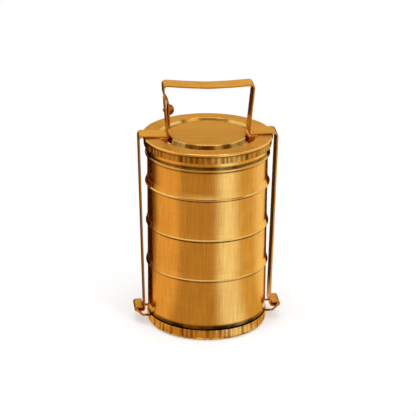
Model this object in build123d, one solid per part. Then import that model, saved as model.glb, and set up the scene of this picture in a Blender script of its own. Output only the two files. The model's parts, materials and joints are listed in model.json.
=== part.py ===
from build123d import *
import math
import os

# A brass tiffin carrier: four bowls stacked on a fluted tray, a lid, and two
# hinged straps that close over the lid, the right one carrying the handle.
# Millimetres, Z up, X through the two hinges, origin under the tray's middle.

# Bowls
wall_radius = 64.8
bowl_sheet = 1.0
short_wall = 45.65
deep_wall = 61.8
foot_drop = 3.0
foot_inset = 1.5
foot_corner = 2.0
mouth_round = 0.4

# Running and seating clearances
seat_gap = 0.05
slip_gap = 0.35
strap_seat_gap = 0.1
shank_gap = 0.08
eye_slack = 0.01

# Skirts, the rings brazed round the bowls' lower ends
skirt_overlap = 6.0
skirt_braze = 1.6
skirt_sheet = 1.0
skirt_lip = 0.5
skirt_lip_height = 1.6
skirt_lip_round = 0.45
skirt_step_round = 0.3
skirt_top_round = 0.8
top_skirt_flare = 0.6

# Tray
tray_overhang = 0.9
tray_wall = 1.4
tray_sheet = 1.2
tray_height = 12.5
tray_corner = 5.0
tray_rim_round = 0.3
tray_ledge_gap = 1.7

# Lid, from its collar outwards and then in to its disc
collar_sheet = 1.35
collar_height = 19.9
collar_bead = 0.7
collar_bead_height = 2.6
collar_bead_round = 1.0
collar_step_round = 0.6
collar_waist = 0.5
collar_waist_height = 5.0
collar_waist_slope = 1.5
collar_waist_round = 1.5
hem_gap = 0.6
hem_wall = 1.5
hem_height = 7.9
lid_overhang = 1.4
lid_sheet = 1.2
lid_edge_height = 2.9
lid_edge_round = 1.3
rim_width = 16.2
groove_width = 12.6
groove_depth = 4.2
groove_slope = 3.2
groove_round = 1.1
groove_shift = 0.72
disc_rise = 0.9

# Flutes of the hem and of the tray
flute_count = 84
flute_depth = 0.42
flute_scatter = 0.16

# Straps
strap_width = 22.0
strap_sheet = 1.6
strap_low_gap = 2.85
strap_top_gap = 4.3
strap_top_bend = 4.0
strap_low_bend = 2.6
cover_slope = 0.05
cover_overhang = 10.5
cover_inner_bend = 2.2
cut_reach = 4.0

# Hinge wires and the eyes that run on them
wire_radius = 1.25
wire_gap = 0.1
wrap_gap = 0.35
wire_offset = 7.5
wire_rise = 4.1
wire_leg_drop = 1.9
wire_bend = 2.4
wire_side_gap = 1.35
wire_knee = 6.0
wire_knee_bend = 3.0
wire_bite = 0.7

# Handle's middle line: rises over the lid, and reaches past the covers' inner ends
grip_right_spread = 5.4
grip_right_rise = 55.65
grip_middle_rise = 53.45
grip_left_spread = 4.5
grip_left_rise = 57.25
grip_corner_bend = 3.5
grip_sag_bend = 300.0
joggle_spread = 3.8
joggle_rise = 45.65
joggle_drop = 9.0
joggle_bend = 4.0
tongue_inset = 0.9
tongue_end_inset = 1.4
tongue_end_rise = 9.65
slot_width = 3.6
slot_low_rise = 16.45
slot_high_rise = 37.25

# Latch tab and turn button
tab_spread = 3.1
tab_rise = 40.65
button_rise = 27.45
button_span = 12.0
button_bulge = 5.0
button_plate = 2.0
button_gap = 0.3
wing_root = 0.6
shank_radius = 1.5
washer_radius = 3.2
washer_sheet = 0.6
rivet_radius = 2.4
rivet_dome = 1.0

# Levels that follow from the stack
deep_ledge = tray_height + tray_ledge_gap
deep_mouth = deep_ledge + deep_wall
lower_ledge = deep_mouth + seat_gap
upper_ledge = lower_ledge + short_wall + seat_gap
top_ledge = upper_ledge + short_wall + seat_gap
lid_seat = top_ledge + short_wall + seat_gap
lid_face = lid_seat + lid_sheet
lid_edge_low = lid_face - lid_edge_height
button_height = lid_face + button_rise
slot_low = lid_face + slot_low_rise
slot_high = lid_face + slot_high_rise

# Reaches that follow from the bowls' wall
tray_radius = wall_radius + tray_overhang
pan_corner = tray_corner - tray_wall
sleeve_radius = wall_radius + slip_gap
hem_inner = sleeve_radius + collar_sheet + hem_gap
hem_radius = hem_inner + hem_wall
lid_radius = hem_radius + lid_overhang
groove_outer = lid_radius - rim_width
groove_inner = groove_outer - groove_width
cover_inner_reach = groove_outer - cover_overhang
strap_foot_reach = sleeve_radius + skirt_sheet + skirt_lip + strap_low_gap + strap_sheet / 2
strap_top_reach = lid_radius + strap_top_gap + strap_sheet / 2
wire_reach = strap_foot_reach + wire_offset
wire_height = tray_height + wire_rise
wire_leg_height = tray_height - wire_leg_drop
tongue_reach = cover_inner_reach - tongue_inset
tongue_end_reach = cover_inner_reach - tongue_end_inset


def spun(points, radii):
    """Turn a closed outline of (radius, height) points about the vertical axis."""
    outline = FilletPolyline(*points, radius=radii, close=True)
    return revolve(Plane.XZ * make_face(outline), Axis.Z)


def fluted_disc(radius, height):
    """An upright disc whose side is a row of uneven shallow hollows."""
    turns = []
    for i in range(flute_count):
        shift = flute_scatter * math.sin(2.4 * i) + flute_scatter * math.sin(0.9 * i)
        turns.append(2 * math.pi * (i + shift) / flute_count)
    turns.append(turns[0] + 2 * math.pi)
    arcs = []
    for start, end in zip(turns[:-1], turns[1:]):
        middle = (start + end) / 2
        ridge_a = (radius * math.cos(start), radius * math.sin(start))
        hollow = radius - flute_depth
        low = (hollow * math.cos(middle), hollow * math.sin(middle))
        ridge_b = (radius * math.cos(end), radius * math.sin(end))
        arcs.append(ThreePointArc(ridge_a, low, ridge_b))
    return extrude(make_face(arcs), height)


def bowl(ledge, mouth, drop, corner):
    """A spun bowl with a stepped foot that drops into what it stands on."""
    foot_radius = wall_radius - foot_inset
    base = ledge - drop
    t = bowl_sheet
    points = [
        (0, base),
        (foot_radius, base),
        (foot_radius, ledge),
        (wall_radius, ledge),
        (wall_radius, mouth),
        (wall_radius - t, mouth),
        (wall_radius - t, ledge + t),
        (foot_radius - t, ledge + t),
        (foot_radius - t, base + t),
        (0, base + t),
    ]
    radii = [0, corner, 0, 0, mouth_round, mouth_round, 0, 0, corner - t, 0]
    return spun(points, radii)


def skirt(ledge, flare):
    """The ring brazed round a bowl's lower end, which slips over the bowl below."""
    low = ledge - skirt_overlap
    shell = sleeve_radius + skirt_sheet
    lip = shell + skirt_lip + flare
    lip_top = low + skirt_lip_height
    top = ledge + skirt_braze
    points = [
        (sleeve_radius, low),
        (lip, low),
        (lip, lip_top),
        (shell, lip_top + skirt_lip),
        (shell, ledge - seat_gap),
        (wall_radius + seat_gap, top),
        (wall_radius, top),
        (wall_radius, ledge),
        (sleeve_radius, ledge),
    ]
    radii = [0, skirt_lip_round, skirt_lip_round, skirt_step_round, skirt_top_round, 0, 0, 0, 0]
    return spun(points, radii)


def tray():
    """The flat pan with an upturned fluted rim that the stack stands in."""
    envelope = spun(
        [(0, 0), (tray_radius, 0), (tray_radius, tray_height), (0, tray_height)],
        [0, tray_corner, tray_rim_round, 0],
    )
    body = envelope & fluted_disc(tray_radius, tray_height)
    hollow_radius = tray_radius - tray_wall
    hollow_top = tray_height + tray_sheet
    hollow = spun(
        [(0, tray_sheet), (hollow_radius, tray_sheet), (hollow_radius, hollow_top), (0, hollow_top)],
        [0, pan_corner, 0, 0],
    )
    return body - hollow


def lid_top():
    """The lid's plate: flat rim with a beaded edge, sunk groove and raised disc."""
    disc = lid_face + disc_rise
    floor = lid_face - groove_depth
    t = lid_sheet
    points = [
        (0, disc),
        (groove_inner, disc),
        (groove_inner + groove_slope, floor),
        (groove_outer - groove_slope, floor),
        (groove_outer, lid_face),
        (lid_radius, lid_face),
        (lid_radius, lid_edge_low),
        (hem_inner, lid_edge_low),
        (hem_inner, lid_seat),
        (groove_outer + groove_shift, lid_seat),
        (groove_outer - groove_slope + groove_shift, floor - t),
        (groove_inner + groove_slope - groove_shift, floor - t),
        (groove_inner - groove_shift, disc - t),
        (0, disc - t),
    ]
    r = groove_round
    radii = [0, r, r, r, r, lid_edge_round, lid_edge_round, 0, 0, r, r, r, r, 0]
    return spun(points, radii)


def lid_hem():
    """The fluted band that hangs under the lid's edge."""
    band = fluted_disc(hem_radius, hem_height)
    bore = Cylinder(hem_inner, hem_height, align=(Align.CENTER, Align.CENTER, Align.MIN))
    return Pos(0, 0, lid_edge_low - hem_height) * (band - bore)


def lid_collar():
    """The polished sleeve under the lid that slips over the top bowl's mouth."""
    low = lid_seat - collar_height
    shell = sleeve_radius + collar_sheet
    waist = shell - collar_waist
    bead = shell + collar_bead
    bead_top = low + collar_bead_height
    waist_top = bead_top + collar_waist_height
    points = [
        (sleeve_radius, low),
        (bead, low),
        (bead, bead_top),
        (waist, bead_top + collar_bead),
        (waist, waist_top),
        (shell, waist_top + collar_waist_slope),
        (shell, lid_seat),
        (sleeve_radius, lid_seat),
    ]
    b, w = collar_bead_round, collar_waist_round
    return spun(points, [0, b, b, collar_step_round, w, w, 0, 0])


def strip(points, radii):
    """A flat strap bent along a middle line of (x, z) points."""
    line = FilletPolyline(*points, radius=radii)
    face = offset(line, strap_sheet / 2)
    if not isinstance(face, Face):
        face = make_face(face.edges())
    return extrude(Plane.XZ * face, strap_width / 2, both=True)


def cover_level(reach):
    """Height of the strap's middle line over the lid, touching at the groove's edge."""
    contact = lid_face + strap_seat_gap + strap_sheet / 2
    return contact + cover_slope * (reach - groove_outer)


def eye_and_side():
    """Middle line from the rolled eye round the hinge wire to the strap's top bend."""
    eye = wire_radius + wire_gap + strap_sheet / 2
    over = wire_height + eye
    under = wire_height - eye
    wrap_end = strap_foot_reach + strap_sheet + wrap_gap
    points = [
        (wrap_end, over),
        (wire_reach + eye, over),
        (wire_reach + eye, under),
        (strap_foot_reach, under),
        (strap_top_reach, cover_level(strap_top_reach)),
        (cover_inner_reach, cover_level(cover_inner_reach)),
    ]
    radii = [eye - eye_slack, eye - eye_slack, strap_low_bend, strap_top_bend, cover_inner_bend]
    return points, radii


def left_strap():
    """The short strap: eye, side, cover and the upright tab that holds the button."""
    points, radii = eye_and_side()
    points.append((cover_inner_reach + tab_spread, lid_face + tab_rise - strap_sheet / 2))
    body = mirror(strip(points, radii), Plane.YZ)
    return body - button_frame() * Cylinder(shank_radius + shank_gap, 2 * cut_reach)


def right_strap():
    """The long strap: eye, side, cover, handle and the slotted tongue at its end."""
    points, radii = eye_and_side()
    points += [
        (cover_inner_reach + grip_right_spread, lid_face + grip_right_rise),
        (0, lid_face + grip_middle_rise),
        (-cover_inner_reach - grip_left_spread, lid_face + grip_left_rise),
        (-cover_inner_reach - joggle_spread, lid_face + joggle_rise),
        (-tongue_reach, lid_face + joggle_rise - joggle_drop),
        (-tongue_end_reach, lid_face + tongue_end_rise),
    ]
    radii += [grip_corner_bend, grip_sag_bend, grip_corner_bend, joggle_bend, joggle_bend]
    slot = SlotOverall(slot_high - slot_low, slot_width, rotation=90)
    reach = (tongue_reach + tongue_end_reach) / 2
    middle = Plane(
        origin=(-reach, 0, (slot_low + slot_high) / 2), x_dir=(0, 1, 0), z_dir=(1, 0, 0)
    )
    return strip(points, radii) - extrude(middle * slot, cut_reach, both=True)


def tab_lean():
    """How far the tab moves outwards for each millimetre that it rises."""
    foot = cover_level(cover_inner_reach)
    return tab_spread / (lid_face + tab_rise - strap_sheet / 2 - foot)


def tab_reach(height):
    """Distance of the tab's middle line from the axis at a height."""
    return cover_inner_reach + tab_lean() * (height - cover_level(cover_inner_reach))


def button_frame():
    """Plane in the tab's middle, square to it, with its Z pointing inwards."""
    return Plane(
        origin=(-tab_reach(button_height), 0, button_height),
        x_dir=(0, 1, 0),
        z_dir=(1, 0, tab_lean()),
    )


def turn_button():
    """The half-moon wing on its shank, riveted over outside the tab."""
    tongue = (tongue_reach + tongue_end_reach) / 2
    base = tab_reach(button_height) - tongue + strap_sheet / 2 + button_gap
    half = button_span / 2
    arc = ThreePointArc((0, half), (button_bulge, 0), (0, -half))
    moon = make_face([arc, Line((0, -half), (0, half))])
    side = Plane(origin=(0, 0, base), x_dir=(0, 0, 1), z_dir=(-1, 0, 0))
    wing = extrude(side * moon, button_plate / 2, both=True)
    outside = -strap_sheet / 2 - shank_gap - washer_sheet
    pin = [
        (0, outside - rivet_dome),
        (rivet_radius / 2, outside - rivet_dome),
        (rivet_radius, outside),
        (shank_radius, outside),
        (shank_radius, base + wing_root),
        (0, base + wing_root),
    ]
    return button_frame() * (wing + spun(pin, [0, rivet_dome, 0, 0, 0, 0]))


def button_washer():
    """The washer between the riveted head and the tab."""
    outside = -strap_sheet / 2 - shank_gap - washer_sheet
    low = (Align.CENTER, Align.CENTER, Align.MIN)
    disc = Cylinder(washer_radius, washer_sheet, align=low)
    hole = Cylinder(shank_radius, washer_sheet, align=low)
    return button_frame() * (Pos(0, 0, outside) * (disc - hole))


def hinge_wire(pan):
    """A bent wire whose middle is the hinge pin and whose ends meet the tray's rim."""
    side = strap_width / 2 + wire_side_gap + wire_radius
    wall = math.sqrt(tray_radius**2 - side**2) - wire_bite
    knee = wire_reach - wire_knee
    points = [
        (wall, -side, wire_leg_height),
        (knee, -side, wire_leg_height),
        (wire_reach, -side, wire_height),
        (wire_reach, side, wire_height),
        (knee, side, wire_leg_height),
        (wall, side, wire_leg_height),
    ]
    path = FilletPolyline(*points, radius=[wire_knee_bend, wire_bend, wire_bend, wire_knee_bend])
    start = Plane(origin=path @ 0, z_dir=path % 0)
    return sweep(start * Circle(wire_radius), path) - pan


os.makedirs("parts", exist_ok=True)
pan = tray()
wire = hinge_wire(pan)
parts = {
    "tray": pan,
    "right_hinge_wire": wire,
    "left_hinge_wire": mirror(wire, Plane.YZ) - pan,
    "deep_bowl": bowl(deep_ledge, deep_mouth, deep_ledge - tray_sheet - seat_gap, pan_corner),
    "lower_bowl": bowl(lower_ledge, lower_ledge + short_wall, foot_drop, foot_corner),
    "upper_bowl": bowl(upper_ledge, upper_ledge + short_wall, foot_drop, foot_corner),
    "top_bowl": bowl(top_ledge, top_ledge + short_wall, foot_drop, foot_corner),
    "lower_skirt": skirt(lower_ledge, 0),
    "upper_skirt": skirt(upper_ledge, 0),
    "top_skirt": skirt(top_ledge, top_skirt_flare),
    "lid_top": lid_top(),
    "lid_hem": lid_hem(),
    "lid_collar": lid_collar(),
    "left_strap": left_strap(),
    "right_strap": right_strap(),
    "turn_button": turn_button(),
    "button_washer": button_washer(),
}
for name, shape in parts.items():
    export_step(shape, f"parts/{name}.step")
    print(name, len(shape.solids()), round(shape.volume, 1))
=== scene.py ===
import math
import json

import bpy
from mathutils import Matrix, Vector


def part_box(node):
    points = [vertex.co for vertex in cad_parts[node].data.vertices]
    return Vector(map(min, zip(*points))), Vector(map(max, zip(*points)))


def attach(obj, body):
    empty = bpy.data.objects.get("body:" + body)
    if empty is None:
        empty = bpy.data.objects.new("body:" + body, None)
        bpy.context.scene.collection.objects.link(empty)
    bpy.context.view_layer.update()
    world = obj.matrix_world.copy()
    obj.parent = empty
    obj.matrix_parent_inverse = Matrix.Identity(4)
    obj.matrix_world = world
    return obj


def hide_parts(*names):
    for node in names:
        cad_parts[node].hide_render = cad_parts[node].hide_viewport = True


bl_info = {
    "name": "Brass Tiffin Carrier",
    "version": (1, 0, 0),
    "blender": (4, 5, 0),
    "location": "3D View > Sidebar > Tiffin",
    "description": "Dresses a four-bowl brass tiffin carrier with spun, brushed and hammered brass",
    "category": "Object",
}

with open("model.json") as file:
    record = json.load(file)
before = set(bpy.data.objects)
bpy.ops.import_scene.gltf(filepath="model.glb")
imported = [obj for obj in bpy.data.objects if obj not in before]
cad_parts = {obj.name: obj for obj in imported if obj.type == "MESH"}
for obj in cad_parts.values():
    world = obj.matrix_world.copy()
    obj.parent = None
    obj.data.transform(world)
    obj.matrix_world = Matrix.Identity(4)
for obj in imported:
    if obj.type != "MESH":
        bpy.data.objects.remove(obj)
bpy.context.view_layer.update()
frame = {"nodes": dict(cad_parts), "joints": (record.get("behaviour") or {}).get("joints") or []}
MM = 0.001
BOWLS = ("deep_bowl", "lower_bowl", "upper_bowl", "top_bowl")
SKIRTS = ("lower_skirt", "upper_skirt", "top_skirt")
EDGE_TINT = (1.0, 0.80, 0.48, 1.0)

# Steps of the turn in one even flute, and the widths and depths of seven hand-pressed ones
FLUTE_STEPS = 8
FLUTE_WIDTHS = (8, 7, 9, 8, 10, 6, 8)
FLUTE_DEPTHS = (1.0, 0.7, 0.95, 0.6, 1.0, 0.75, 0.85)
SHIFT_STEP = 0.01 * MM
SAME_POINT = 0.001 * MM
LONGEST_BEND = 0.99

# The handle's middle line from the right post over the grip to the tongue: (across, height) in mm
HANDLE_LINE = (
    (48.7, 270.0), (24.0, 268.5), (0.0, 267.9), (-24.0, 269.4), (-47.8, 271.6),
    (-47.1, 260.0), (-42.4, 251.0), (-41.9, 224.0),
)
EYE_BORE = 1.35 * MM

# Plain studio panels round the object: from and to an azimuth in degrees, and a colour
PANELS = (
    (-105, -65, (0.8, 0.5, 0.2)),
    (-50, 4, (0.5, 0.3, 0.1)),
    (22, 38, (1.0, 1.0, 1.0)),
    (58, 82, (0.7, 0.5, 0.2)),
    (104, 122, (1.0, 0.9, 0.8)),
)
UNLIT = (0.05, 0.03, 0.01)
UNLIT_LEFT = -124
UNLIT_RIGHT = 150
PANEL_GLOW = 1.14

# The panel overhead: dim, with a warm band and a bright strip, by share of its width from the left
DIM, WARM, BRIGHT = (0.3, 0.2, 0.05), (0.5, 0.3, 0.1), (1.0, 0.8, 0.5)
OVERHEAD_TONES = (
    (0.0, DIM), (0.3, WARM), (0.4, DIM), (0.56, DIM),
    (0.64, BRIGHT), (0.74, BRIGHT), (0.8, DIM), (1.0, DIM),
)


def low_z(node):
    """Lowest point of a node, in metres."""
    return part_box(node)[0].z


def high_z(node):
    """Highest point of a node, in metres."""
    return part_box(node)[1].z


def radius_of(node):
    """Outer radius of a round node, in metres."""
    return max(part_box(node)[1].x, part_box(node)[1].y)


class SheetSizes(bpy.types.PropertyGroup):
    """Sheet and wall sizes of the spun pieces."""

    bowl_sheet: bpy.props.FloatProperty(
        name="Bowl sheet", description="Thickness of the bowls", default=1.0 * MM, unit="LENGTH"
    )
    foot_inset: bpy.props.FloatProperty(
        name="Foot inset", description="Step of a bowl's foot", default=1.5 * MM, unit="LENGTH"
    )
    foot_drop: bpy.props.FloatProperty(
        name="Foot drop", description="Depth of a bowl's foot", default=3.0 * MM, unit="LENGTH"
    )
    slip_gap: bpy.props.FloatProperty(
        name="Slip gap", description="Clearance of a sleeve on a bowl", default=0.35 * MM, unit="LENGTH"
    )
    deep_wall: bpy.props.FloatProperty(
        name="Deep wall", description="Height of the deep bowl's wall", default=61.8 * MM, unit="LENGTH"
    )
    tray_sheet: bpy.props.FloatProperty(
        name="Tray sheet", description="Thickness of the tray's floor", default=1.2 * MM, unit="LENGTH"
    )
    tray_rim: bpy.props.FloatProperty(
        name="Tray rim", description="Thickness of the tray's rim", default=1.4 * MM, unit="LENGTH"
    )
    steps: bpy.props.IntProperty(
        name="Turning steps", description="Steps of a full turn", default=192, min=48, max=384
    )
    flutes: bpy.props.IntProperty(
        name="Flutes", description="Flutes round the hem and the tray", default=70, min=24, max=160
    )
    flute_depth: bpy.props.FloatProperty(
        name="Flute depth", description="Depth of one flute", default=0.45 * MM, unit="LENGTH"
    )


class LidSizes(bpy.types.PropertyGroup):
    """Sizes of the lid's plate and hem."""

    rim_width: bpy.props.FloatProperty(
        name="Rim width", description="Flat rim outside the groove", default=16.2 * MM, unit="LENGTH"
    )
    groove_width: bpy.props.FloatProperty(
        name="Groove width", description="Groove between rim and disc", default=12.6 * MM, unit="LENGTH"
    )
    groove_depth: bpy.props.FloatProperty(
        name="Groove depth", description="Groove's bed below the rim", default=4.2 * MM, unit="LENGTH"
    )
    groove_slope: bpy.props.FloatProperty(
        name="Groove slope", description="Width of each sloping side", default=3.2 * MM, unit="LENGTH"
    )
    groove_shift: bpy.props.FloatProperty(
        name="Groove shift", description="Underside's slopes, moved by", default=0.72 * MM, unit="LENGTH"
    )
    disc_rise: bpy.props.FloatProperty(
        name="Disc rise", description="Disc above the rim", default=0.9 * MM, unit="LENGTH"
    )
    sheet: bpy.props.FloatProperty(
        name="Sheet", description="Thickness of the plate", default=1.2 * MM, unit="LENGTH"
    )
    edge_depth: bpy.props.FloatProperty(
        name="Edge depth", description="Height of the beaded edge", default=2.9 * MM, unit="LENGTH"
    )
    hem_sheet: bpy.props.FloatProperty(
        name="Hem sheet", description="Thickness of the hem", default=1.5 * MM, unit="LENGTH"
    )


class StrapSizes(bpy.types.PropertyGroup):
    """Sizes of the bent straps."""

    width: bpy.props.FloatProperty(
        name="Width", description="Width of the straps", default=22.0 * MM, unit="LENGTH"
    )
    sheet: bpy.props.FloatProperty(
        name="Thickness", description="Thickness of the straps", default=1.6 * MM, unit="LENGTH"
    )
    foot_reach: bpy.props.FloatProperty(
        name="Foot reach", description="Middle of a side at the foot", default=69.4 * MM, unit="LENGTH"
    )
    top_reach: bpy.props.FloatProperty(
        name="Top reach", description="Middle of a side at the top", default=74.2 * MM, unit="LENGTH"
    )
    inner_reach: bpy.props.FloatProperty(
        name="Inner reach", description="End of a cover over the lid", default=43.3 * MM, unit="LENGTH"
    )
    edge: bpy.props.FloatProperty(
        name="Edge round", description="Rounding of the straps' edges", default=0.35 * MM, unit="LENGTH"
    )


class FinishColours(bpy.types.PropertyGroup):
    """Colours of the brass."""

    satin: bpy.props.FloatVectorProperty(
        name="Satin brass", description="Bowls and skirts", subtype="COLOR", size=3,
        default=(0.90, 0.55, 0.16), min=0.0, max=1.0,
    )
    polished: bpy.props.FloatVectorProperty(
        name="Polished brass", description="Collar, groove, hem and tray", subtype="COLOR", size=3,
        default=(0.90, 0.54, 0.14), min=0.0, max=1.0,
    )
    brushed: bpy.props.FloatVectorProperty(
        name="Brushed brass", description="Flat faces of the lid", subtype="COLOR", size=3,
        default=(0.62, 0.29, 0.055), min=0.0, max=1.0,
    )
    strap: bpy.props.FloatVectorProperty(
        name="Strap brass", description="Straps and handle", subtype="COLOR", size=3,
        default=(0.66, 0.31, 0.055), min=0.0, max=1.0,
    )
    # Coppery brass, darker than the rest: the darkness is painted shade for the button's tilt
    button: bpy.props.FloatVectorProperty(
        name="Button brass", description="Turn button and its washer", subtype="COLOR", size=3,
        default=(0.50, 0.17, 0.03), min=0.0, max=1.0,
    )
    floor: bpy.props.FloatVectorProperty(
        name="Floor", description="Floor and background", subtype="COLOR", size=3,
        default=(0.92, 0.92, 0.92), min=0.0, max=1.0,
    )


class Graph:
    """Short hand for building a material's nodes."""

    def __init__(self, name):
        self.material = bpy.data.materials.new(name)
        self.material.use_nodes = True
        self.tree = self.material.node_tree
        self.shader = self.tree.nodes["Principled BSDF"]

    def add(self, kind, values=None, **settings):
        """A node with its settings and socket values."""
        node = self.tree.nodes.new(kind)
        for key, value in settings.items():
            setattr(node, key, value)
        for key, value in (values or {}).items():
            node.inputs[key].default_value = value
        return node

    def link(self, source, target):
        """Joins an output to an input."""
        self.tree.links.new(source, target)

    def place(self, scale, turn=(0, 0, 0)):
        """Object coordinates, turned and stretched."""
        where = self.add("ShaderNodeTexCoord")
        mapping = self.add("ShaderNodeMapping", {"Scale": scale, "Rotation": turn})
        self.link(where.outputs["Object"], mapping.inputs["Vector"])
        return mapping.outputs["Vector"]

    def part(self, vector, axis):
        """One coordinate of a vector."""
        node = self.add("ShaderNodeSeparateXYZ")
        self.link(vector, node.inputs[0])
        return node.outputs[axis]

    def times(self, first, second):
        """The product of two values."""
        node = self.add("ShaderNodeMath", operation="MULTIPLY")
        self.link(first, node.inputs[0])
        self.link(second, node.inputs[1])
        return node.outputs[0]

    def ramp(self, value, marks):
        """A colour ramp through (place, colour) marks."""
        node = self.add("ShaderNodeValToRGB")
        self.link(value, node.inputs["Fac"])
        stops = node.color_ramp.elements
        for count, (place, colour) in enumerate(marks):
            stop = stops[count] if count < 2 else stops.new(place)
            stop.position = place
            stop.color = (*colour, 1.0)
        return node.outputs["Color"]

    def glow(self, colour, strength):
        """Makes the material shine by itself, and does nothing else."""
        node = self.add("ShaderNodeEmission", {"Strength": strength})
        self.link(colour, node.inputs["Color"])
        self.link(node.outputs[0], self.tree.nodes["Material Output"].inputs["Surface"])

    def metal(self, tone, rough, normal):
        """Finishes the shader as bare metal."""
        self.link(tone, self.shader.inputs["Base Color"])
        self.link(rough, self.shader.inputs["Roughness"])
        self.link(normal, self.shader.inputs["Normal"])
        self.shader.inputs["Metallic"].default_value = 1.0
        self.shader.inputs["Specular Tint"].default_value = EDGE_TINT
        return self.material

    def around(self, stretch):
        """Coordinates that follow a turned surface: angle, radius and height."""
        where = self.add("ShaderNodeTexCoord")
        apart = self.add("ShaderNodeSeparateXYZ")
        self.link(where.outputs["Object"], apart.inputs[0])
        angle = self.add("ShaderNodeMath", operation="ARCTAN2")
        self.link(apart.outputs["Y"], angle.inputs[0])
        self.link(apart.outputs["X"], angle.inputs[1])
        flat = self.add("ShaderNodeCombineXYZ")
        self.link(apart.outputs["X"], flat.inputs["X"])
        self.link(apart.outputs["Y"], flat.inputs["Y"])
        reach = self.add("ShaderNodeVectorMath", operation="LENGTH")
        self.link(flat.outputs[0], reach.inputs[0])
        joined = self.add("ShaderNodeCombineXYZ")
        self.link(angle.outputs[0], joined.inputs["X"])
        self.link(reach.outputs["Value"], joined.inputs["Y"])
        self.link(apart.outputs["Z"], joined.inputs["Z"])
        mapping = self.add("ShaderNodeMapping", {"Scale": stretch})
        self.link(joined.outputs[0], mapping.inputs["Vector"])
        return mapping.outputs["Vector"]

    def noise(self, vector, scale, detail=3.0, rough=0.5):
        """Noise between nought and one."""
        node = self.add("ShaderNodeTexNoise", {"Scale": scale, "Detail": detail, "Roughness": rough})
        self.link(vector, node.inputs["Vector"])
        return node.outputs["Fac"]

    def span(self, value, low, high, to_low, to_high):
        """Maps a range of a value onto another, and clamps it."""
        node = self.add(
            "ShaderNodeMapRange",
            {"From Min": low, "From Max": high, "To Min": to_low, "To Max": to_high},
        )
        self.link(value, node.inputs["Value"])
        return node.outputs["Result"]

    def blend(self, factor, first, second):
        """Mixes two colours or colour sockets."""
        node = self.add("ShaderNodeMix", data_type="RGBA")
        self.link(factor, node.inputs["Factor"])
        for socket, colour in ((node.inputs[6], first), (node.inputs[7], second)):
            if isinstance(colour, bpy.types.NodeSocket):
                self.link(colour, socket)
            else:
                socket.default_value = (*colour[:3], 1.0)
        return node.outputs[2]

    def bump(self, height, strength, distance, after=None):
        """A bump, on top of another one if given."""
        node = self.add("ShaderNodeBump", {"Strength": strength, "Distance": distance})
        self.link(height, node.inputs["Height"])
        if after:
            self.link(after, node.inputs["Normal"])
        return node.outputs["Normal"]


def shade(colour, factor):
    """A colour made darker or lighter."""
    return tuple(min(1.0, channel * factor) for channel in colour)


def tarnish_and_shade_tone(colour):
    """The brownish tone that brass takes where it tarnishes; made darker, it is also the tone of the
    painted shade.
    """
    return (colour[0] * 0.62, colour[1] * 0.46, colour[2] * 0.38)


def seam_heights():
    """Bands of painted shade on the bowls and the collar, where the deep bowl meets the tray's rim and
    just below each skirt's lip and the collar's bead, and a band of painted dark reflection in the
    collar's waist: lowest and highest point, and fade.
    """
    rim = high_z("tray")
    collar = low_z("lid_collar")
    seams = [(rim - 1.0 * MM, rim + 4.7 * MM, 2.2 * MM)]
    for node in SKIRTS:
        seams.append((low_z(node) - 1.55 * MM, low_z(node) + 0.05 * MM, 0.3 * MM))
    seams.append((collar - 1.65 * MM, collar + 0.05 * MM, 0.4 * MM))
    seams.append((collar + 3.15 * MM, collar + 5.75 * MM, 0.8 * MM))
    return seams


def seam_shade(g, heights):
    """Painted shade between pairs of heights, each with its fade."""
    tallest = 250 * MM
    sharp = 0.3 * MM
    where = g.add("ShaderNodeTexCoord")
    height = g.part(where.outputs["Object"], "Z")
    marks = []
    for low, high, fade in heights:
        for place, depth in ((low - sharp, 0.0), (low, 1.0), (high, 1.0), (high + fade, 0.0)):
            marks.append((place / tallest, (depth, depth, depth)))
    seams = g.ramp(g.span(height, 0.0, tallest, 0.0, 1.0), marks)
    uneven = g.span(g.noise(g.place((60.0, 60.0, 60.0)), 1.0, 3.0), 0.35, 0.6, 0.75, 1.0)
    return g.times(seams, uneven)


def ring_shade(g, low, high, depth):
    """Painted shade between two radii, uneven round the ring."""
    reach = g.part(g.around((1.0, 1.0, 1.0)), "Y")
    soft = 0.25 * (high - low)
    inner = g.span(reach, low, low + soft, 0.0, 1.0)
    outer = g.span(reach, high - soft, high, depth, 0.0)
    uneven = g.span(g.noise(g.around((4.0, 30.0, 1.0)), 1.0, 4.0, 0.6), 0.3, 0.6, 0.45, 1.0)
    return g.times(g.times(inner, outer), uneven)


def flute_shade(g, rim):
    """Painted shade in the hollows of a fluted side, uneven round it."""
    reach = g.part(g.around((1.0, 1.0, 1.0)), "Y")
    hollow = g.span(reach, rim - 0.42 * MM, rim - 0.06 * MM, 0.9, 0.0)
    patchy = g.span(g.noise(g.around((7.0, 1.0, 30.0)), 1.0, 3.0, 0.6), 0.36, 0.6, 0.15, 1.0)
    return g.times(hollow, patchy)


def sparse_specks(g):
    """Small dark specks that gather in a few places."""
    cells = g.add("ShaderNodeTexVoronoi", {"Scale": 230.0, "Randomness": 1.0})
    g.link(g.place((1.0, 1.0, 0.75)), cells.inputs["Vector"])
    speck = g.span(cells.outputs["Distance"], 0.035, 0.085, 1.0, 0.0)
    sparse = g.span(g.noise(g.place((41.0, 41.0, 41.0)), 1.0, 2.0), 0.56, 0.62, 0.0, 1.0)
    return g.times(speck, sparse)


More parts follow.
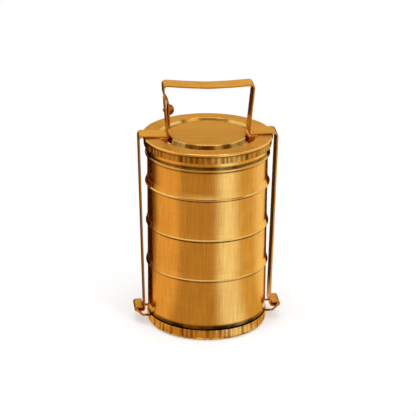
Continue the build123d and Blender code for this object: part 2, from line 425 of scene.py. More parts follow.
def turned_brass(name, colour, rough, lines, streaks, tarnish, rings_of_shade=()):
    """Brass spun on a lathe: fine rings, upright wipe marks, specks and soft tarnish, with painted shade
    in the seams and in the given rings.
    """
    g = Graph(name)
    rings = g.noise(g.around((0.6, 900.0, 5200.0)), 1.0, 2.0, 0.6)
    wipes = g.noise(g.around((46.0, 6.0, 9.0)), 1.0, 4.0, 0.65)
    fine = g.noise(g.around((150.0, 20.0, 40.0)), 1.0, 3.0, 0.6)
    lathe = g.noise(g.around((1.6, 60.0, 900.0)), 1.0, 3.0, 0.6)
    cloud = g.noise(g.place((26.0, 26.0, 30.0)), 1.0, 4.0, 0.55)
    tone = g.blend(g.span(cloud, 0.35, 0.68, 0.0, tarnish), colour, tarnish_and_shade_tone(colour))
    tone = g.blend(g.span(wipes, 0.35, 0.7, 0.0, streaks), tone, shade(colour, 0.72))
    tone = g.blend(g.span(fine, 0.50, 0.68, 0.0, streaks), tone, shade(colour, 0.55))
    tone = g.blend(g.span(fine, 0.48, 0.32, 0.0, streaks * 0.7), tone, shade(colour, 1.3))
    tone = g.blend(g.span(lathe, 0.52, 0.70, 0.0, streaks * 0.55), tone, shade(colour, 0.62))
    tone = g.blend(sparse_specks(g), tone, shade(tarnish_and_shade_tone(colour), 0.35))
    # Near-black painted shade in the seams, and a painted dark reflection in the collar's waist
    tone = g.blend(seam_shade(g, seam_heights()), tone, shade(tarnish_and_shade_tone(colour), 0.06))
    # Rings of painted shade, where given
    for low, high, depth in rings_of_shade:
        tone = g.blend(ring_shade(g, low, high, depth), tone, shade(tarnish_and_shade_tone(colour), 0.25))
    normal = g.bump(rings, lines, 0.04 * MM)
    normal = g.bump(fine, lines * 0.7, 0.03 * MM, normal)
    normal = g.bump(cloud, 0.12, 0.6 * MM, normal)
    return g.metal(tone, g.span(wipes, 0.3, 0.7, rough * 0.85, rough * 1.25), normal)


def brushed_brass(name, colour, rough):
    """Brass brushed along X, with short bright and dark hairs."""
    g = Graph(name)
    hairs = g.noise(g.place((14.0, 1500.0, 300.0)), 1.0, 3.0, 0.6)
    broad = g.noise(g.place((7.0, 210.0, 60.0)), 1.0, 3.0, 0.6)
    cloud = g.noise(g.place((30.0, 30.0, 30.0)), 1.0, 4.0, 0.55)
    scratch = g.noise(g.place((900.0, 22.0, 60.0), (0, 0, 0.5)), 1.0, 2.0, 0.5)
    tone = g.blend(g.span(broad, 0.35, 0.68, 0.0, 0.55), colour, shade(colour, 0.7))
    tone = g.blend(g.span(hairs, 0.55, 0.75, 0.0, 0.5), tone, shade(colour, 1.3))
    tone = g.blend(g.span(cloud, 0.5, 0.75, 0.0, 0.4), tone, tarnish_and_shade_tone(colour))
    tone = g.blend(g.span(scratch, 0.70, 0.78, 0.0, 0.6), tone, shade(colour, 1.4))
    normal = g.bump(hairs, 0.5, 0.05 * MM)
    normal = g.bump(cloud, 0.12, 0.5 * MM, normal)
    return g.metal(tone, g.span(hairs, 0.3, 0.7, rough * 0.85, rough * 1.2), normal)


def hammered_brass(name, colour, rough, wave, tarnish, rim=None, heights=()):
    """Hand-worked brass: soft dents, scratches along the strap, painted shade in the flutes' hollows
    when a rim is given, and painted shade between heights when they are given.
    """
    g = Graph(name)
    dents = g.noise(g.place((95.0, 95.0, 75.0)), 1.0, 2.0, 0.5)
    cloud = g.noise(g.place((38.0, 38.0, 26.0)), 1.0, 4.0, 0.6)
    scratch = g.noise(g.place((420.0, 420.0, 16.0)), 1.0, 3.0, 0.6)
    grit = g.noise(g.place((900.0, 900.0, 900.0)), 1.0, 3.0, 0.6)
    tone = g.blend(g.span(cloud, 0.38, 0.66, 0.0, tarnish), colour, tarnish_and_shade_tone(colour))
    tone = g.blend(g.span(scratch, 0.55, 0.75, 0.0, 0.45), tone, shade(colour, 1.35))
    tone = g.blend(g.span(grit, 0.68, 0.76, 0.0, 0.25), tone, shade(tarnish_and_shade_tone(colour), 0.4))
    # Painted shade in the hollows of the flutes
    if rim:
        tone = g.blend(flute_shade(g, rim), tone, shade(tarnish_and_shade_tone(colour), 0.28))
    # Painted shade between the given heights
    if heights:
        tone = g.blend(seam_shade(g, heights), tone, shade(tarnish_and_shade_tone(colour), 0.1))
    normal = g.bump(dents, wave, 0.6 * MM)
    normal = g.bump(scratch, 0.25, 0.06 * MM, normal)
    return g.metal(tone, g.span(cloud, 0.3, 0.7, rough * 0.8, rough * 1.35), normal)


def groove_edges():
    """Radii of the lid's disc and of the groove's outer edge."""
    sizes = bpy.context.scene.tiffin_lid
    far = radius_of("lid_top") - sizes.rim_width
    return far - sizes.groove_width, far


def groove_shade():
    """Rings of painted shade in the groove, on its inner slope, at the foot of its outer slope and along
    its outer edge: inner and outer radius, and depth of tone.
    """
    near, far = groove_edges()
    return (
        (near + 0.3 * MM, near + 3.6 * MM, 0.9),
        (far - 4.2 * MM, far - 2.2 * MM, 0.8),
        (far - 0.5 * MM, far + 0.5 * MM, 0.6),
    )


def finishes():
    """All the finishes, made once."""
    if "satin brass" in bpy.data.materials:
        return bpy.data.materials
    colours = bpy.context.scene.tiffin_colours
    satin = tuple(colours.satin)
    polished = tuple(colours.polished)
    turned_brass("satin brass", satin, rough=0.17, lines=0.4, streaks=0.62, tarnish=0.34)
    turned_brass("skirt brass", satin, rough=0.13, lines=0.2, streaks=0.4, tarnish=0.3)
    turned_brass("polished brass", polished, rough=0.09, lines=0.12, streaks=0.35, tarnish=0.3)
    turned_brass("groove brass", polished, 0.12, 0.2, 0.5, 0.5, groove_shade())
    brushed_brass("brushed brass", tuple(colours.brushed), rough=0.42)
    hammered_brass("strap brass", tuple(colours.strap), rough=0.25, wave=0.5, tarnish=0.55)
    hammered_brass("button brass", tuple(colours.button), rough=0.3, wave=0.4, tarnish=0.5)
    hammered_brass("tray brass", polished, 0.14, 1.0, 0.45, radius_of("tray"))
    top = high_z("lid_hem")
    # Painted shade on the hem just under the lid's edge
    shade_under_edge = ((top - 1.3 * MM, top, 0.3 * MM),)
    # The hem's brass is the polished brass made darker: painted shade
    hem = shade(polished, 0.72)
    hammered_brass("hem brass", hem, 0.2, 0.75, 0.6, radius_of("lid_hem"), shade_under_edge)
    return bpy.data.materials


def deselect():
    """Leaves edit mode and selects nothing."""
    if bpy.context.object and bpy.context.object.mode != "OBJECT":
        bpy.ops.object.mode_set(mode="OBJECT")
    bpy.ops.object.select_all(action="DESELECT")


def activate(piece):
    """Selects one piece alone."""
    deselect()
    bpy.context.view_layer.objects.active = piece
    piece.select_set(True)


def pick(piece, chosen):
    """Selects a piece's vertices by their numbers, in edit mode."""
    bpy.ops.object.mode_set(mode="EDIT")
    bpy.ops.mesh.select_mode(type="VERT")
    bpy.ops.mesh.select_all(action="DESELECT")
    bpy.ops.object.mode_set(mode="OBJECT")
    for index in chosen:
        piece.data.vertices[index].select = True
    bpy.ops.object.mode_set(mode="EDIT")


def merge_all(distance):
    """Merges all vertices that lie closer than a distance."""
    bpy.ops.mesh.select_all(action="SELECT")
    bpy.ops.mesh.remove_doubles(threshold=distance)


def turn_all(steps):
    """Turns everything once about the vertical axis."""
    bpy.ops.mesh.select_all(action="SELECT")
    bpy.ops.mesh.spin(steps=steps, angle=2 * math.pi, center=(0, 0, 0), axis=(0, 0, 1))


def start_point(name, first):
    """A new mesh of one vertex at a place, in edit mode."""
    deselect()
    bpy.ops.mesh.primitive_plane_add(size=MM, location=(0, 0, 0))
    piece = bpy.context.object
    piece.name = name
    bpy.ops.object.mode_set(mode="EDIT")
    bpy.ops.mesh.select_all(action="SELECT")
    bpy.ops.mesh.merge(type="CENTER")
    bpy.ops.transform.translate(value=first)
    return piece


def draw_line(name, points):
    """A line of edges through points, drawn by extruding a vertex."""
    piece = start_point(name, points[0])
    for before, after in zip(points[:-1], points[1:]):
        step = Vector(after) - Vector(before)
        bpy.ops.mesh.extrude_vertices_move(TRANSFORM_OT_translate={"value": step})
    return piece


def round_corners(piece, corners):
    """Rounds corners of a line, given as (place, radius of the bend)."""
    bpy.ops.mesh.select_mode(type="VERT")
    for place, radius, segments in corners:
        bpy.ops.mesh.select_all(action="DESELECT")
        bpy.ops.object.mode_set(mode="OBJECT")
        nearest = min(piece.data.vertices, key=lambda v: (v.co - Vector(place)).length)
        nearest.select = True
        ends = [e for e in piece.data.edges if nearest.index in e.vertices]
        reach = radius
        if len(ends) == 2:
            arms = []
            for edge in ends:
                other = [i for i in edge.vertices if i != nearest.index][0]
                arms.append(piece.data.vertices[other].co - nearest.co)
            turn = math.pi - arms[0].angle(arms[1])
            shortest = min(arm.length for arm in arms)
            reach = min(radius * math.tan(turn / 2), LONGEST_BEND * shortest)
        bpy.ops.object.mode_set(mode="EDIT")
        bpy.ops.mesh.bevel(affect="VERTICES", offset=reach, segments=segments, clamp_overlap=False)


def spun(name, outline, corners, material, axis_ends=False, steps=None):
    """A closed outline of (radius, height) points, turned about the vertical axis.

    Each corner is (number of its point, radius of its bend, segments).
    """
    steps = steps or bpy.context.scene.tiffin_sheets.steps
    points = [(r, 0.0, z) for r, z in outline]
    if not axis_ends:
        points.append(points[0])
    piece = draw_line(name, points)
    merge_all(SAME_POINT)
    round_corners(piece, [((outline[i][0], 0.0, outline[i][1]), r, s) for i, r, s in corners])
    turn_all(steps)
    merge_all(2 * SAME_POINT)
    bpy.ops.mesh.normals_make_consistent(inside=False)
    bpy.ops.object.mode_set(mode="OBJECT")
    bpy.ops.object.shade_smooth_by_angle(angle=math.radians(38))
    piece.data.materials.append(material)
    return piece


def seat(piece, node, body):
    """A finished piece rides on its body and stands for its node."""
    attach(piece, body)
    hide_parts(node)


class TIFFIN_OT_bowls(bpy.types.Operator):
    """Spins the four bowls"""

    bl_idname = "tiffin.bowls"
    bl_label = "Bowls"

    def execute(self, context):
        """Makes each bowl from its node's height and radius."""
        sizes = context.scene.tiffin_sheets
        t = sizes.bowl_sheet
        ledge_round = 0.25 * MM
        mouth_round = 0.42 * MM
        for node in BOWLS:
            base = low_z(node)
            mouth = high_z(node)
            wall = radius_of(node)
            foot = wall - sizes.foot_inset
            drop = sizes.foot_drop
            corner = 2.0 * MM
            if node == "deep_bowl":
                drop = mouth - base - sizes.deep_wall
                corner = 3.6 * MM
            ledge = base + drop
            outline = [
                (0, base), (foot, base), (foot, ledge), (wall, ledge), (wall, mouth),
                (wall - t, mouth), (wall - t, ledge + t), (foot - t, ledge + t),
                (foot - t, base + t), (0, base + t),
            ]
            corners = [
                (1, corner, 6), (3, ledge_round, 3), (4, mouth_round, 4), (5, mouth_round, 4),
                (8, corner - t, 5),
            ]
            piece = spun(f"{node}_spun", outline, corners, finishes()["satin brass"], True)
            seat(piece, node, node)
        return {"FINISHED"}


class TIFFIN_OT_skirts(bpy.types.Operator):
    """Spins the skirts brazed round three of the bowls"""

    bl_idname = "tiffin.skirts"
    bl_label = "Skirts"

    def execute(self, context):
        """Makes each skirt from its node's height and radius."""
        sizes = context.scene.tiffin_sheets
        wall = radius_of("deep_bowl")
        sleeve = wall + sizes.slip_gap
        shell = sleeve + sizes.bowl_sheet
        braze = wall + 0.01 * MM
        thin_top = wall + 0.05 * MM
        lip_height = 0.9 * MM
        slope_foot = 1.9 * MM
        lip_round = 0.4 * MM
        for node in SKIRTS:
            low = low_z(node)
            high = high_z(node)
            lip = radius_of(node)
            ledge = high - 1.6 * MM
            outline = [
                (sleeve, low), (lip, low), (lip, low + lip_height), (shell, low + slope_foot),
                (thin_top, high), (braze, high), (braze, ledge), (sleeve, ledge),
            ]
            corners = [(1, lip_round, 4), (2, lip_round, 4), (3, 3 * lip_round, 5)]
            piece = spun(f"{node}_spun", outline, corners, finishes()["skirt brass"])
            seat(piece, node, node.replace("skirt", "bowl"))
        return {"FINISHED"}


def flute_shift(step, depth):
    """How far in a fluted side lies at a step of the turn: hollows between ridges."""
    place = step % sum(FLUTE_WIDTHS)
    for width, share in zip(FLUTE_WIDTHS, FLUTE_DEPTHS):
        if place < width:
            return depth * share * math.sin(math.pi * place / width) ** 0.8
        place -= width


def flute(piece, low, high, radius, reach):
    """Presses flutes into the outer side of a turned piece between two heights."""
    sizes = bpy.context.scene.tiffin_sheets
    steps = sizes.flutes * FLUTE_STEPS
    groups = {}
    for vertex in piece.data.vertices:
        away = math.hypot(vertex.co.x, vertex.co.y)
        if low <= vertex.co.z <= high and away > radius - reach:
            step = round(math.atan2(vertex.co.y, vertex.co.x) / (2 * math.pi) * steps) % steps
            inward = round(flute_shift(step, sizes.flute_depth) / SHIFT_STEP) * SHIFT_STEP
            groups.setdefault(inward, []).append(vertex.index)
    activate(piece)
    for inward, chosen in groups.items():
        pick(piece, chosen)
        share = (radius - inward) / radius
        bpy.ops.transform.resize(value=(share, share, 1.0), center_override=(0, 0, 0))
    bpy.ops.object.mode_set(mode="OBJECT")


class TIFFIN_OT_tray(bpy.types.Operator):
    """Spins the tray and presses its fluted rim"""

    bl_idname = "tiffin.tray"
    bl_label = "Tray"

    def execute(self, context):
        """Makes the tray from its node's height and radius."""
        sizes = context.scene.tiffin_sheets
        rim = radius_of("tray") + 0.02 * MM
        inner = rim - sizes.tray_rim
        top = high_z("tray")
        floor = sizes.tray_sheet
        outline = [
            (0, 0), (rim, 0), (rim, 5.5 * MM), (rim, 8.0 * MM), (rim, top - 1.6 * MM), (rim, top),
            (inner, top), (inner, floor), (0, floor),
        ]
        corners = [(1, 5.0 * MM, 9), (5, 0.4 * MM, 3), (6, 0.35 * MM, 3), (7, 3.6 * MM, 6)]
        steps = sizes.flutes * FLUTE_STEPS
        piece = spun("tray_spun", outline, corners, finishes()["tray brass"], True, steps)
        flute(piece, low=1.4 * MM, high=top - 0.2 * MM, radius=rim, reach=1.2 * MM)
        piece.data.materials.append(finishes()["polished brass"])
        for face in piece.data.polygons:
            inside = math.hypot(face.center.x, face.center.y) < inner + 0.1 * MM
            underneath = face.center.z < 0.3 * MM
            if inside or underneath:
                face.material_index = 1
        seat(piece, "tray", "tray")
        return {"FINISHED"}


class TIFFIN_OT_lid(bpy.types.Operator):
    """Spins the lid, its hem and its collar"""

    bl_idname = "tiffin.lid"
    bl_label = "Lid"

    def execute(self, context):
        """Makes the lid from its nodes' heights and radii."""
        self.top(context)
        self.hem(context)
        self.collar(context)
        return {"FINISHED"}

    def top(self, context):
        """The plate with its groove, its disc and its beaded edge."""
        sizes = context.scene.tiffin_lid
        edge = radius_of("lid_top")
        disc = high_z("lid_top")
        face = disc - sizes.disc_rise
        bed = face - sizes.groove_depth
        under = face - sizes.edge_depth
        inner = radius_of("lid_hem") - sizes.hem_sheet
        near, far = groove_edges()
        slope, shift, t = sizes.groove_slope, sizes.groove_shift, sizes.sheet
        flat_ring = 6 * MM
        outline = [
            (0, disc), (near - flat_ring, disc), (near, disc), (near + slope, bed), (far - slope, bed),
            (far, face), (edge, face), (edge, under), (inner, under), (inner, face - t),
            (far + shift, face - t), (far - slope + shift, bed - t),
            (near + slope - shift, bed - t), (near - shift, disc - t), (0, disc - t),
        ]
        bend = 1.1 * MM
        bead = 1.35 * MM
        corners = [(i, bend, 4) for i in (2, 3, 4, 5)]
        corners += [(i, bead, 6) for i in (6, 7)]
        corners += [(i, bend, 3) for i in (10, 11, 12, 13)]
        piece = spun("lid_top_spun", outline, corners, finishes()["brushed brass"], True)
        piece.data.materials.append(finishes()["polished brass"])
        piece.data.materials.append(finishes()["groove brass"])
        for polygon in piece.data.polygons:
            flat = abs(polygon.normal.z) > 0.985
            if not flat or polygon.center.z < face - 0.3 * MM:
                away = math.hypot(polygon.center.x, polygon.center.y)
                polygon.material_index = 1 if away > far + 2.0 * MM else 2
        seat(piece, "lid_top", "lid")

    def hem(self, context):
        """The fluted band under the edge."""
        low, high = low_z("lid_hem"), high_z("lid_hem")
        rim = radius_of("lid_hem")
        inner = rim - context.scene.tiffin_lid.hem_sheet
        outline = [
            (inner, low), (rim, low), (rim, low + 2.0 * MM), (rim, high - 1.2 * MM),
            (rim, high), (inner, high),
        ]
        corners = [(0, 0.3 * MM, 2), (1, 0.5 * MM, 3), (4, 0.3 * MM, 2)]
        steps = context.scene.tiffin_sheets.flutes * FLUTE_STEPS
        piece = spun("lid_hem_pressed", outline, corners, finishes()["hem brass"], False, steps)
        flute(piece, low=low - 0.1 * MM, high=high - 0.5 * MM, radius=rim, reach=0.7 * MM)
        seat(piece, "lid_hem", "lid")

    def collar(self, context):
        """The polished sleeve with its waist and its bead."""
        sleeve = radius_of("deep_bowl") + context.scene.tiffin_sheets.slip_gap
        low = low_z("lid_collar")
        top = high_z("lid_collar")
        bead = radius_of("lid_collar")
        shell = bead - 0.7 * MM
        waist = shell - 0.5 * MM
        bead_top = low + 2.6 * MM
        waist_low = bead_top + 0.7 * MM
        waist_high = waist_low + 4.3 * MM
        shoulder = waist_high + 1.5 * MM
        outline = [
            (sleeve, low), (bead, low), (bead, bead_top), (waist, waist_low),
            (waist, waist_high), (shell, shoulder), (shell, top), (sleeve, top),
        ]
        bead_round = 1.2 * MM
        soft = 1.5 * MM
        corners = [
            (1, bead_round, 6), (2, bead_round, 6), (3, 0.7 * MM, 4), (4, soft, 4), (5, soft, 4),
        ]
        piece = spun("lid_collar_spun", outline, corners, finishes()["polished brass"])
        seat(piece, "lid_collar", "lid")


def cover_level(reach):
    """Height of a strap's middle line over the lid at a reach from the axis."""
    sheet = bpy.context.scene.tiffin_straps.sheet
    face = high_z("lid_top") - bpy.context.scene.tiffin_lid.disc_rise
    clear = 0.1 * MM
    rise = 0.05
    return face + clear + sheet / 2 + rise * (reach - groove_edges()[1])


def eye_and_side():
    """Points and bends of a strap from its rolled eye to the top bend, on the right side."""
    sizes = bpy.context.scene.tiffin_straps
    hinge = [j for j in frame["joints"] if j["name"] == "right_strap_swing"][0]["pos_m"]
    eye = EYE_BORE + sizes.sheet / 2
    over = hinge[2] + eye
    under = hinge[2] - eye
    foot = sizes.foot_reach
    top = sizes.top_reach
    points = [
        (foot + sizes.sheet + 0.35 * MM, over), (hinge[0] + eye, over), (hinge[0] + eye, under),
        (foot, under), (top, cover_level(top)),
    ]
    bend = eye - 0.01 * MM
    bends = [(1, bend, 7), (2, bend, 7), (3, 2.6 * MM, 6), (4, 4.0 * MM, 7)]
    return points, bends


def bent_strap(name, points, bends, side):
    """A flat strap of even width and thickness, bent along a line with rounded bends."""
    sizes = bpy.context.scene.tiffin_straps
    half = sizes.width / 2
    path = [(side * x, -half, z) for x, z in points]
    piece = draw_line(name, path)
    round_corners(piece, [(path[i], r, s) for i, r, s in bends])
    bpy.ops.mesh.select_all(action="SELECT")
    for share in (0.1, 0.2, 0.2, 0.2, 0.2, 0.1):
        bpy.ops.mesh.extrude_edges_move(
            TRANSFORM_OT_translate={"value": (0, share * sizes.width, 0)}
        )
    merge_all(2 * SAME_POINT)
    bpy.ops.mesh.normals_make_consistent(inside=False)
    bpy.ops.object.mode_set(mode="OBJECT")
    solid = piece.modifiers.new("sheet", "SOLIDIFY")
    solid.thickness = sizes.sheet
    solid.offset = 0.0
    solid.use_even_offset = True
    apply(piece, solid)
    return piece


def apply(piece, modifier):
    """Applies a modifier to a piece."""
    activate(piece)
    bpy.ops.object.modifier_apply(modifier=modifier.name)


def cut(piece, cutter):
    """Cuts a shape out of a piece and deletes the shape."""
    knife = piece.modifiers.new("cut", "BOOLEAN")
    knife.operation = "DIFFERENCE"
    knife.solver = "EXACT"
    knife.object = cutter
    apply(piece, knife)
    bpy.data.objects.remove(cutter)


def soften(piece, width, material):
    """Rounds a piece's sharp edges and shades it smooth."""
    edge = piece.modifiers.new("edge", "BEVEL")
    edge.width = width
    edge.segments = 3
    edge.limit_method = "ANGLE"
    edge.angle_limit = math.radians(40)
    edge.use_clamp_overlap = True
    apply(piece, edge)
    bpy.ops.object.shade_smooth_by_angle(angle=math.radians(42))
    piece.data.materials.clear()
    piece.data.materials.append(material)


class TIFFIN_OT_left_strap(bpy.types.Operator):
    """Bends the left strap with its tab"""

    bl_idname = "tiffin.left_strap"
    bl_label = "Left strap"

    def execute(self, context):
        """Makes the strap, drills the tab and rounds its edges."""
        sizes = context.scene.tiffin_straps
        points, bends = eye_and_side()
        corner = sizes.inner_reach
        points.append((corner, cover_level(corner)))
        points.append((corner + 3.1 * MM, high_z("left_strap") - sizes.sheet / 2))
        bends.append((5, 2.2 * MM, 6))
        piece = bent_strap("left_strap_bent", points, bends, -1)
        low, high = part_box("turn_button")
        deselect()
        bpy.ops.mesh.primitive_cylinder_add(
            vertices=24, radius=1.58 * MM, depth=20 * MM,
            location=((low.x + high.x) / 2, 0, (low.z + high.z) / 2), rotation=(0, math.pi / 2, 0),
        )
        cut(piece, context.object)
        soften(piece, sizes.edge, finishes()["strap brass"])
        seat(piece, "left_strap", "left_strap")
        return {"FINISHED"}


class TIFFIN_OT_right_strap(bpy.types.Operator):
    """Bends the right strap with the handle and its slotted tongue"""

    bl_idname = "tiffin.right_strap"
    bl_label = "Right strap and handle"

    def execute(self, context):
        """Makes the strap, cuts the tongue's slot and rounds its edges."""
        sizes = context.scene.tiffin_straps
        points, bends = eye_and_side()
        corner = sizes.inner_reach
        points.append((corner, cover_level(corner)))
        points += [(x * MM, z * MM) for x, z in HANDLE_LINE]
        sharp, wide, joggle = 3.5 * MM, 30 * MM, 4.0 * MM
        bends += [
            (5, 2.2 * MM, 6), (6, sharp, 7), (7, wide, 5), (8, wide, 5), (9, wide, 5),
            (10, sharp, 7), (11, joggle, 5), (12, joggle, 5),
        ]
        piece = bent_strap("right_strap_bent", points, bends, 1)
        cut(piece, self.slot_cutter(context))
        soften(piece, sizes.edge, finishes()["strap brass"])
        seat(piece, "right_strap", "right_strap")
        return {"FINISHED"}

    def slot_cutter(self, context):
        """A bar with round ends, as long and wide as the tongue's slot."""
        low, high, width = 230.8 * MM, 251.6 * MM, 3.6 * MM
        middle = low + width / 2
        deselect()
        bpy.ops.mesh.primitive_cylinder_add(
            vertices=32, radius=width / 2, depth=7 * MM,
            location=(-42.2 * MM, 0, middle), rotation=(0, math.pi / 2, 0),
        )
        cutter = context.object
        bpy.ops.object.transform_apply(location=True, rotation=True, scale=True)
        pick(cutter, [v.index for v in cutter.data.vertices if v.co.z > middle])
        bpy.ops.transform.translate(value=(0, 0, high - low - width))
        bpy.ops.object.mode_set(mode="OBJECT")
        return cutter


def smooth_copy(node, name, material):
    """A merged and smooth-shaded copy of a small CAD piece."""
    source = frame["nodes"][node]
    piece = bpy.data.objects.new(name, source.data.copy())
    bpy.context.scene.collection.objects.link(piece)
    activate(piece)
    bpy.ops.object.mode_set(mode="EDIT")
    merge_all(2 * SAME_POINT)
    bpy.ops.object.mode_set(mode="OBJECT")
    bpy.ops.object.shade_smooth_by_angle(angle=math.radians(40))
    piece.data.materials.clear()
    piece.data.materials.append(material)
    return piece


class TIFFIN_OT_small_parts(bpy.types.Operator):
    """Finishes the hinge wires, the turn button and its washer"""

    bl_idname = "tiffin.small_parts"
    bl_label = "Wires and latch"

    def execute(self, context):
        """Smooths a copy of each small piece."""
        strap = finishes()["strap brass"]
        button = finishes()["button brass"]
        for node in ("left_hinge_wire", "right_hinge_wire"):
            seat(smooth_copy(node, f"{node}_bent", strap), node, "tray")
        for node, slot in (("turn_button", "brass_strap"), ("button_washer", "brass_wire")):
            seat(smooth_copy(node, f"{node}_cast", button), node, "turn_button")
        return {"FINISHED"}


class TIFFIN_OT_stage(bpy.types.Operator):
    """Sets the floor, the light, the background and the camera"""

    bl_idname = "tiffin.stage"
    bl_label = "Stage"

    def execute(self, context):
        """Makes the stage."""
        self.floor(context)
        self.world(context)
        self.lamps(context)
        self.panel_ring()
        self.overhead(context)
        self.camera(context)
        context.scene.view_settings.view_transform = "Standard"
        return {"FINISHED"}

    def floor(self, context):
        """A wide pale floor that looks white to the camera and keeps the shadow near the tray."""
        deselect()
        bpy.ops.mesh.primitive_plane_add(size=6.0, location=(0, 0, 0))
        plane = context.object
        plane.name = "floor"
        bpy.ops.object.mode_set(mode="EDIT")
        bpy.ops.mesh.subdivide(number_cuts=4)
        bpy.ops.object.mode_set(mode="OBJECT")
        g = Graph("floor")
        base = tuple(context.scene.tiffin_colours.floor)
        tint = g.span(g.noise(g.place((3.0, 3.0, 3.0)), 1.0, 2.0), 0.3, 0.7, 0.0, 1.0)
        g.link(g.blend(tint, base, shade(base, 0.99)), g.shader.inputs["Base Color"])
        g.shader.inputs["Roughness"].default_value = 0.9
        path = g.add("ShaderNodeLightPath")
        where = g.add("ShaderNodeTexCoord")
        away = g.add("ShaderNodeVectorMath", operation="LENGTH")
        g.link(where.outputs["Object"], away.inputs[0])
        whiter = g.span(away.outputs["Value"], 0.07, 0.22, 0.35, 1.0)
        white = g.add("ShaderNodeEmission", {"Strength": 1.0})
        mix = g.add("ShaderNodeMixShader")
        g.link(g.times(whiter, path.outputs["Is Camera Ray"]), mix.inputs["Fac"])
        g.link(g.shader.outputs[0], mix.inputs[1])
        g.link(white.outputs[0], mix.inputs[2])
        g.link(mix.outputs[0], g.tree.nodes["Material Output"].inputs["Surface"])
        plane.data.materials.append(g.material)

    def world(self, context):
        """A background that is white to the camera and to metal, and a softer light elsewhere."""
        world = bpy.data.worlds.new("studio")
        context.scene.world = world
        world.use_nodes = True
        tree = world.node_tree
        background = tree.nodes["Background"]
        background.inputs["Color"].default_value = (1.0, 1.0, 1.0, 1.0)
        path = tree.nodes.new("ShaderNodeLightPath")
        seen = path.outputs["Is Camera Ray"]
        for ray in ("Is Glossy Ray", "Is Transmission Ray"):
            either = tree.nodes.new("ShaderNodeMath")
            either.operation = "MAXIMUM"
            tree.links.new(seen, either.inputs[0])
            tree.links.new(path.outputs[ray], either.inputs[1])
            seen = either.outputs[0]
        strength = tree.nodes.new("ShaderNodeMapRange")
        strength.inputs["To Min"].default_value = 0.75
        strength.inputs["To Max"].default_value = 1.0
        tree.links.new(seen, strength.inputs["Value"])
        tree.links.new(strength.outputs["Result"], background.inputs["Strength"])

    def lamps(self, context):
        """Two tall soft boxes and one overhead, of which only the last shows in the metal."""
        for name, place, target, size, power, mirrored in (
            ("soft box right", (0.62, -1.0, 0.55), (0, 0, 0.12), (0.10, 1.3), 7.0, False),
            ("soft box left", (-1.0, -0.75, 0.5), (0, 0, 0.12), (0.35, 1.2), 5.0, False),
            ("soft box over", (0.0, -0.2, 1.6), (0, 0, 0.1), (0.9, 0.9), 10.0, True),
        ):
            data = bpy.data.lights.new(name, "AREA")
            data.shape = "RECTANGLE"
            data.size, data.size_y = size
            data.energy = power
            lamp = bpy.data.objects.new(name, data)
            context.scene.collection.objects.link(lamp)
            lamp.location = place
            lamp.visible_glossy = mirrored
            lamp.rotation_euler = (Vector(target) - Vector(place)).to_track_quat("-Z", "Y").to_euler()

    def panel_ring(self):
        """Plain panels on the floor and round it, seen by the metal and never by the camera."""
        g = Graph("panel_ring")
        where = g.add("ShaderNodeTexCoord")
        angle = g.add("ShaderNodeMath", operation="ARCTAN2")
        back = g.add("ShaderNodeMath", {1: -1.0}, operation="MULTIPLY")
        g.link(g.part(where.outputs["Object"], "Y"), back.inputs[0])
        g.link(g.part(where.outputs["Object"], "X"), angle.inputs[0])
        g.link(back.outputs[0], angle.inputs[1])
        tones = [(-180, UNLIT), (UNLIT_LEFT, UNLIT)]
        for start, end, colour in PANELS:
            tones += [(start, colour), (end, colour)]
        tones += [(UNLIT_RIGHT, UNLIT), (180, UNLIT)]
        marks = [((azimuth + 180) / 360, colour) for azimuth, colour in tones]
        g.glow(g.ramp(g.span(angle.outputs[0], -math.pi, math.pi, 0.0, 1.0), marks), PANEL_GLOW)
        inner, middle, outer, lift, height = 0.0675, 0.35, 1.3, 0.0006, 0.34
        piece = draw_line(
            "reflector_ring", [(inner, 0, lift), (middle, 0, lift), (outer, 0, lift), (outer, 0, height)]
        )
        turn_all(96)
        merge_all(10 * SAME_POINT)
        bpy.ops.object.mode_set(mode="OBJECT")
        piece.data.materials.append(g.material)
        self.hide(piece)

    def overhead(self, context):
        """A warm panel above the front, for the slopes that face up."""
        width, length, height = 2.6, 1.6, 1.3
        g = Graph("overhead")
        where = g.add("ShaderNodeTexCoord")
        across = g.span(g.part(where.outputs["Object"], "X"), -width / 2, width / 2, 0.0, 1.0)
        g.glow(g.ramp(across, OVERHEAD_TONES), 1.0)
        deselect()
        bpy.ops.mesh.primitive_plane_add(size=1.0, location=(0, 0, 0))
        piece = context.object
        piece.name = "overhead_panel"
        bpy.ops.object.mode_set(mode="EDIT")
        bpy.ops.transform.resize(value=(width, length, 1.0))
        bpy.ops.transform.translate(value=(0, -0.95, height))
        bpy.ops.mesh.subdivide(number_cuts=3)
        bpy.ops.object.mode_set(mode="OBJECT")
        piece.data.materials.append(g.material)
        self.hide(piece)

    def hide(self, piece):
        """Leaves a panel to the metal's reflections alone."""
        piece.visible_camera = False
        piece.visible_diffuse = False
        piece.visible_shadow = False

    def camera(self, context):
        """A long lens, high, far off and a little to the left."""
        distance = 1.906
        lift = 0.3718
        azimuth = math.radians(-6.5)
        roll = 0.0068
        aim = Vector((0.00094, 0, 0.12867))
        away = Vector((
            math.cos(lift) * math.sin(azimuth), -math.cos(lift) * math.cos(azimuth), math.sin(lift),
        ))
        data = bpy.data.cameras.new("camera")
        camera = bpy.data.objects.new("camera", data)
        context.scene.collection.objects.link(camera)
        camera.location = aim + distance * away
        look = (-away).to_track_quat("-Z", "Y").to_matrix().to_4x4()
        camera.rotation_euler = (look @ Matrix.Rotation(roll, 4, "Z")).to_euler()
        data.sensor_fit = "HORIZONTAL"
        data.sensor_width = 36.0
        data.lens = 151.97
        data.clip_start = 0.05
        context.scene.camera = camera


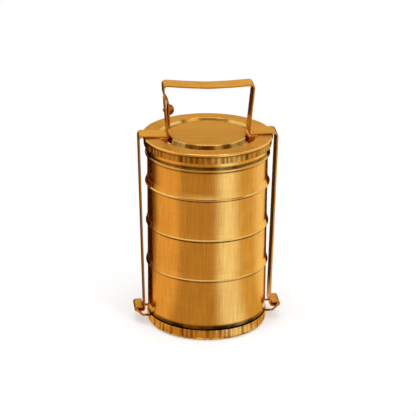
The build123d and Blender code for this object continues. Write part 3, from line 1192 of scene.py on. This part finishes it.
class TIFFIN_PT_panel(bpy.types.Panel):
    """Lists the sizes and the pieces"""

    bl_idname = "TIFFIN_PT_panel"
    bl_label = "Tiffin carrier"
    bl_space_type = "VIEW_3D"
    bl_region_type = "UI"
    bl_category = "Tiffin"

    def draw(self, context):
        """Draws the sizes, the colours and one button for each piece."""
        layout = self.layout
        scene = context.scene
        for group in (scene.tiffin_sheets, scene.tiffin_lid, scene.tiffin_straps, scene.tiffin_colours):
            box = layout.box()
            for key in group.bl_rna.properties.keys():
                if key not in ("rna_type", "name"):
                    box.prop(group, key)
        for operator in OPERATORS:
            layout.operator(operator.bl_idname)


OPERATORS = (
    TIFFIN_OT_bowls,
    TIFFIN_OT_skirts,
    TIFFIN_OT_tray,
    TIFFIN_OT_lid,
    TIFFIN_OT_left_strap,
    TIFFIN_OT_right_strap,
    TIFFIN_OT_small_parts,
    TIFFIN_OT_stage,
)
GROUPS = (SheetSizes, LidSizes, StrapSizes, FinishColours)


def register():
    """Registers the classes and their settings."""
    for item in (*GROUPS, *OPERATORS, TIFFIN_PT_panel):
        bpy.utils.register_class(item)
    bpy.types.Scene.tiffin_sheets = bpy.props.PointerProperty(type=SheetSizes)
    bpy.types.Scene.tiffin_lid = bpy.props.PointerProperty(type=LidSizes)
    bpy.types.Scene.tiffin_straps = bpy.props.PointerProperty(type=StrapSizes)
    bpy.types.Scene.tiffin_colours = bpy.props.PointerProperty(type=FinishColours)


def unregister():
    """Removes the classes and their settings."""
    del bpy.types.Scene.tiffin_sheets
    del bpy.types.Scene.tiffin_lid
    del bpy.types.Scene.tiffin_straps
    del bpy.types.Scene.tiffin_colours
    for item in reversed((*GROUPS, *OPERATORS, TIFFIN_PT_panel)):
        bpy.utils.unregister_class(item)


def main():
    """Makes the whole object and its stage."""
    register()
    bpy.ops.tiffin.bowls()
    bpy.ops.tiffin.skirts()
    bpy.ops.tiffin.tray()
    bpy.ops.tiffin.lid()
    bpy.ops.tiffin.left_strap()
    bpy.ops.tiffin.right_strap()
    bpy.ops.tiffin.small_parts()
    bpy.ops.tiffin.stage()
    deselect()


if __name__ == "__main__":
    main()
